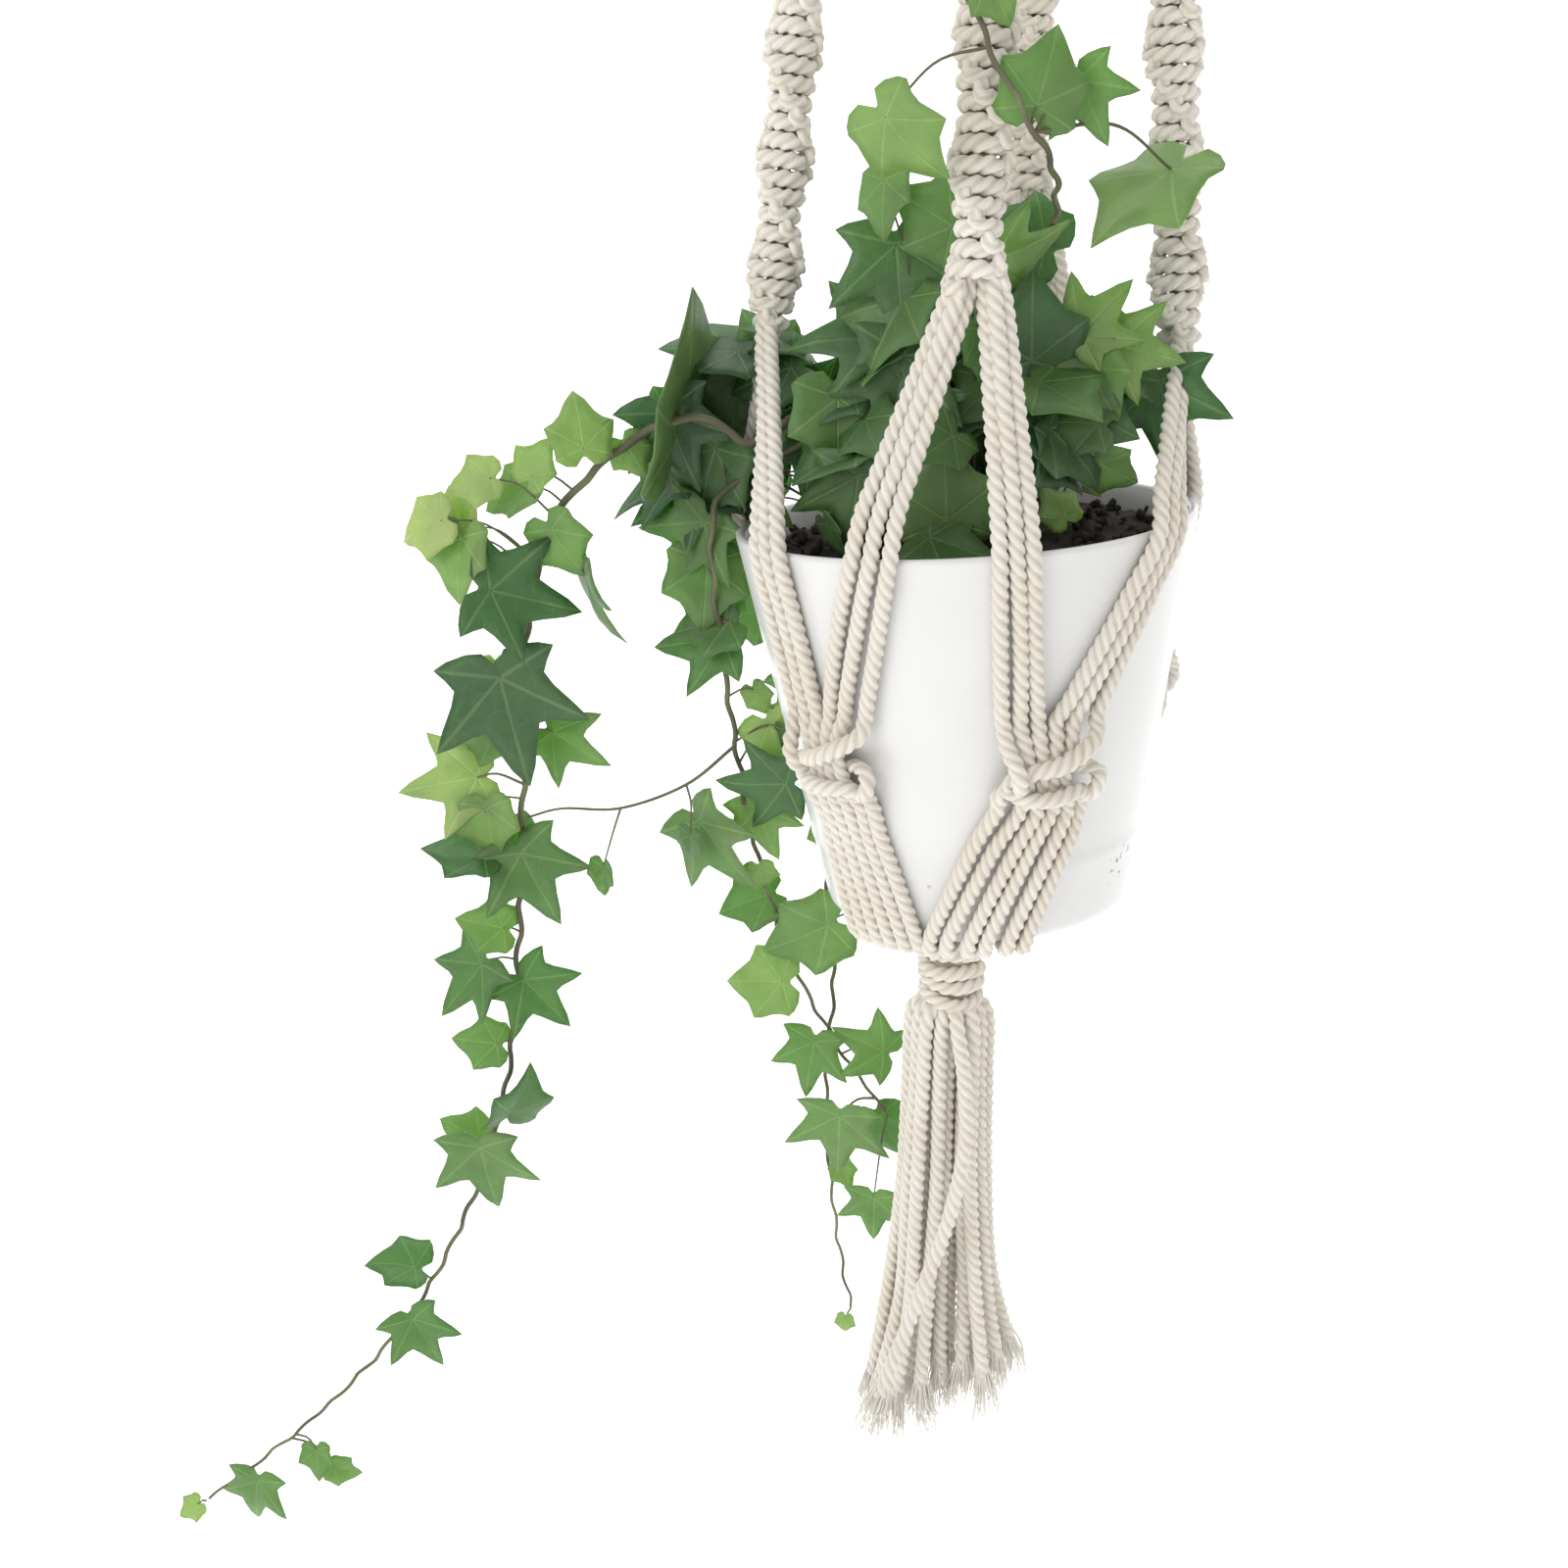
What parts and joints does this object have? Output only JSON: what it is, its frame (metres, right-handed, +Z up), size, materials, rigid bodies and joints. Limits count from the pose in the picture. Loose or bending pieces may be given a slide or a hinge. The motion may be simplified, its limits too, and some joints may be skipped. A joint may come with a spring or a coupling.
{
  "type": "hanging macrame planter",
  "caption": "Knotted cotton rope sling on a wooden ring, holding a tapered white glazed pot of trailing ivy, with a wrapped knot and tassel below.",
  "frame": {"origin": "where the hook carries the ring: the inside top of the ring's hole", "axes": "+Z up, the sling hanging down along -Z; +X to the right and +Y away from a person who faces the planter, in the plane across the ring"},
  "size_m": [0.336, 0.1404, 1.0489],
  "materials": {
    "cotton_rope": "matte twisted cotton, natural white",
    "wood_ring": "oiled, smooth turned",
    "white_glaze": "satin white glaze",
    "soil": "loose peat and bark crumb",
    "ivy_leaf": "waxy leaf, paler veins",
    "ivy_stem": "thin green-brown stem"
  },
  "bodies": {
    "ring": {"hanging_ring": "wood_ring"},
    "sling": {"ring_loops": "cotton_rope", "top_wrap": "cotton_rope", "arm_left_bare_cords": "cotton_rope", "arm_front_bare_cords": "cotton_rope", "arm_right_bare_cords": "cotton_rope", "arm_back_bare_cords": "cotton_rope", "arm_left_knotting": "cotton_rope", "arm_front_knotting": "cotton_rope", "arm_right_knotting": "cotton_rope", "arm_back_knotting": "cotton_rope", "band_left_to_front": "cotton_rope", "band_front_to_left": "cotton_rope", "band_front_to_right": "cotton_rope", "band_right_to_front": "cotton_rope", "band_right_to_back": "cotton_rope", "band_back_to_right": "cotton_rope", "band_back_to_left": "cotton_rope", "band_left_to_back": "cotton_rope", "knot_front_left": "cotton_rope", "knot_front_right": "cotton_rope", "knot_back_right": "cotton_rope", "knot_back_left": "cotton_rope", "band_front_left_below": "cotton_rope", "band_front_right_below": "cotton_rope", "band_back_right_below": "cotton_rope", "band_back_left_below": "cotton_rope", "gather_wrap": "cotton_rope", "tassel_strand_01": "cotton_rope", "tassel_strand_02": "cotton_rope", "tassel_strand_03": "cotton_rope", "tassel_strand_04": "cotton_rope", "tassel_strand_05": "cotton_rope", "tassel_strand_06": "cotton_rope", "tassel_strand_07": "cotton_rope", "tassel_strand_08": "cotton_rope", "tassel_strand_09": "cotton_rope", "tassel_strand_10": "cotton_rope", "tassel_strand_11": "cotton_rope", "tassel_strand_12": "cotton_rope", "tassel_strand_13": "cotton_rope", "tassel_strand_14": "cotton_rope", "tassel_strand_15": "cotton_rope", "tassel_strand_16": "cotton_rope", "tassel_strand_17": "cotton_rope", "tassel_strand_18": "cotton_rope", "tassel_strand_19": "cotton_rope", "tassel_strand_20": "cotton_rope", "tassel_strand_21": "cotton_rope", "tassel_strand_22": "cotton_rope", "tassel_strand_23": "cotton_rope", "tassel_strand_24": "cotton_rope"},
    "planted_pot": {"pot": "white_glaze", "potting_soil": "soil", "ivy_foliage": "ivy_leaf", "ivy_stem_long": "ivy_stem", "ivy_stem_side": "ivy_stem", "ivy_stem_back": "ivy_stem", "ivy_stem_top": "ivy_stem"}
  },
  "joints": [
    {"name": "sling_swing", "type": "hinge", "parent": "ring", "child": "sling", "pos_m": [0, 0, -0.055], "axis": [1, 0, 0], "range_deg": [-15, 15]},
    {"name": "pot_turn", "type": "hinge", "parent": "sling", "child": "planted_pot", "pos_m": [0.0067, 0, -0.78], "axis": [-0.075, 0, 0.9972], "range_deg": [-6, 6]}
  ]
}
